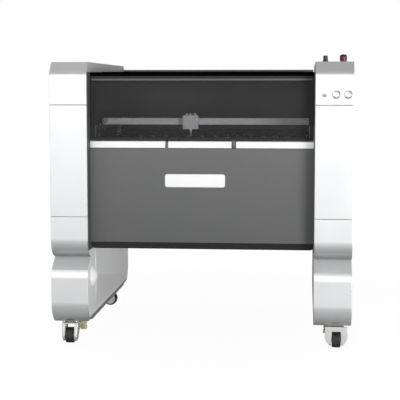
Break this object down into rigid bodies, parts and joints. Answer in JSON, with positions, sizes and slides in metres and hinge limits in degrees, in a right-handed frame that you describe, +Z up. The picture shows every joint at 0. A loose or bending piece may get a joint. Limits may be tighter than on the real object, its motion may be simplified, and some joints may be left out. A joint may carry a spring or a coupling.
{
  "type": "laser engraving machine",
  "caption": "Cabinet laser engraver on casters: grey body between two tall white side covers, hinged smoked lid, moving gantry and head, knife bed, push controls.",
  "frame": {"origin": "on the floor, at the middle of the machine's footprint", "axes": "+Z up, +X to the operator's right, +Y from the front to the back"},
  "size_m": [1.08, 0.984, 1.056],
  "materials": {
    "cover_white": "glossy silver-white paint",
    "panel_grey": "satin grey powder coat",
    "dark_grey": "satin dark grey powder coat",
    "strip_white": "satin white paint",
    "plate_white": "blank white label plate",
    "lid_black": "black anodised sheet",
    "smoke": "smoked clear acrylic",
    "tube_glass": "clear glass",
    "steel": "bright steel",
    "zinc": "zinc plated",
    "alloy": "natural anodised",
    "head_grey": "grey anodised",
    "rubber": "black rubber",
    "tread": "black tread",
    "black_plastic": "matt black",
    "red_plastic": "glossy dark red",
    "green_plastic": "dark green",
    "brass": "yellow passivated",
    "ring_grey": "satin ring"
  },
  "bodies": {
    "root": {"left_cap": "cover_white", "left_middle_cover": "cover_white", "left_leg_cover": "cover_white", "right_cap": "cover_white", "right_middle_cover": "cover_white", "right_leg_cover": "cover_white", "leg_frames": "steel", "side_plates": "dark_grey", "front_panel": "panel_grey", "nameplate": "plate_white", "sill_strips": "strip_white", "body_pan": "panel_grey", "chamber_tub": "dark_grey", "tube_cover": "panel_grey", "laser_tube": "tube_glass", "tube_clamps": "alloy", "tube_mirror": "alloy", "laser_power_supply": "steel", "control_box": "black_plastic", "exhaust_collar": "steel", "power_inlet": "black_plastic", "y_rails": "steel", "y_motor": "black_plastic", "y_belts": "rubber", "shaft_bearings": "alloy", "bed_frame": "alloy", "bed_slats": "steel", "hinge_bases": "zinc", "estop_base": "black_plastic", "selector_base": "black_plastic", "button_bezels": "ring_grey", "pilot_lamp": "black_plastic", "caster_plates": "zinc", "levelling_feet": "brass"},
    "long_shaft": {"y_drive_shaft": "steel"},
    "long_idlers": {"y_idler_pulleys": "steel"},
    "gantry": {"x_beam": "alloy", "y_carriages": "alloy", "x_motor": "black_plastic", "x_belt": "rubber", "beam_mirror": "alloy"},
    "cross_drive": {"x_drive_pulley": "alloy"},
    "cross_idler": {"x_idler_pulley": "alloy"},
    "head": {"laser_head": "head_grey"},
    "focus": {"focus_tube": "alloy"},
    "lid": {"lid_frame": "lid_black", "lid_window": "smoke", "hinge_leaves": "zinc"},
    "estop": {"estop_button": "red_plastic"},
    "selector": {"selector_knob": "green_plastic"},
    "left_button": {"button_left": "ring_grey"},
    "right_button": {"button_right": "ring_grey"},
    "caster_front_left": {"fork_front_left": "zinc"},
    "roller_front_left": {"wheel_front_left": "tread"},
    "caster_front_right": {"fork_front_right": "zinc"},
    "roller_front_right": {"wheel_front_right": "tread"},
    "caster_rear_left": {"fork_rear_left": "zinc"},
    "roller_rear_left": {"wheel_rear_left": "tread"},
    "caster_rear_right": {"fork_rear_right": "zinc"},
    "roller_rear_right": {"wheel_rear_right": "tread"}
  },
  "joints": [
    {"name": "gantry_slide", "type": "slide", "parent": "root", "child": "gantry", "axis": [0, 1, 0], "range_m": [-0.03, 0.37]},
    {"name": "long_shaft_spin", "type": "hinge", "parent": "root", "child": "long_shaft", "pos_m": [0, 0.192, 0.7663], "axis": [1, 0, 0], "continuous": true},
    {"name": "long_idler_spin", "type": "hinge", "parent": "root", "child": "long_idlers", "pos_m": [0, -0.4, 0.7663], "axis": [1, 0, 0], "continuous": true},
    {"name": "head_slide", "type": "slide", "parent": "gantry", "child": "head", "axis": [1, 0, 0], "range_m": [-0.247, 0.353]},
    {"name": "cross_drive_spin", "type": "hinge", "parent": "gantry", "child": "cross_drive", "pos_m": [0.352, -0.224, 0.8138], "axis": [0, 1, 0], "continuous": true},
    {"name": "cross_idler_spin", "type": "hinge", "parent": "gantry", "child": "cross_idler", "pos_m": [-0.352, -0.224, 0.8138], "axis": [0, 1, 0], "continuous": true},
    {"name": "focus_slide", "type": "slide", "parent": "head", "child": "focus", "axis": [0, 0, 1], "range_m": [-0.012, 0.003]},
    {"name": "lid_hinge", "type": "hinge", "parent": "root", "child": "lid", "pos_m": [0, 0.216, 0.999], "axis": [-1, 0, 0], "range_deg": [0, 75]},
    {"name": "estop_press", "type": "slide", "parent": "root", "child": "estop", "axis": [0, 0, -1], "range_m": [0, 0.004]},
    {"name": "selector_turn", "type": "hinge", "parent": "root", "child": "selector", "pos_m": [0.44, -0.415, 1.04], "axis": [0, 0, 1], "range_deg": [0, 90]},
    {"name": "left_button_press", "type": "slide", "parent": "root", "child": "left_button", "axis": [0, 1, 0], "range_m": [0, 0.003], "stiffness_N_per_m": 400, "springref_m": -0.002},
    {"name": "right_button_press", "type": "slide", "parent": "root", "child": "right_button", "axis": [0, 1, 0], "range_m": [0, 0.003], "stiffness_N_per_m": 400, "springref_m": -0.002},
    {"name": "swivel_front_left", "type": "hinge", "parent": "root", "child": "caster_front_left", "pos_m": [-0.488, -0.383, 0.075], "axis": [0, 0, 1], "continuous": true},
    {"name": "roll_front_left", "type": "hinge", "parent": "caster_front_left", "child": "roller_front_left", "pos_m": [-0.488, -0.405, 0.029], "axis": [1, 0, 0], "continuous": true},
    {"name": "swivel_front_right", "type": "hinge", "parent": "root", "child": "caster_front_right", "pos_m": [0.488, -0.383, 0.075], "axis": [0, 0, 1], "continuous": true},
    {"name": "roll_front_right", "type": "hinge", "parent": "caster_front_right", "child": "roller_front_right", "pos_m": [0.488, -0.405, 0.029], "axis": [1, 0, 0], "continuous": true},
    {"name": "swivel_rear_left", "type": "hinge", "parent": "root", "child": "caster_rear_left", "pos_m": [-0.488, 0.38, 0.075], "axis": [0, 0, 1], "continuous": true},
    {"name": "roll_rear_left", "type": "hinge", "parent": "caster_rear_left", "child": "roller_rear_left", "pos_m": [-0.466, 0.38, 0.029], "axis": [0, 1, 0], "continuous": true},
    {"name": "swivel_rear_right", "type": "hinge", "parent": "root", "child": "caster_rear_right", "pos_m": [0.488, 0.38, 0.075], "axis": [0, 0, 1], "continuous": true},
    {"name": "roll_rear_right", "type": "hinge", "parent": "caster_rear_right", "child": "roller_rear_right", "pos_m": [0.488, 0.402, 0.029], "axis": [1, 0, 0], "continuous": true}
  ],
  "couplings": [
    {"joint": "long_shaft_spin", "follows": "gantry_slide", "rad_per_m": -89.686},
    {"joint": "long_idler_spin", "follows": "gantry_slide", "rad_per_m": -89.686},
    {"joint": "cross_drive_spin", "follows": "head_slide", "rad_per_m": 139.86},
    {"joint": "cross_idler_spin", "follows": "head_slide", "rad_per_m": 139.86}
  ]
}
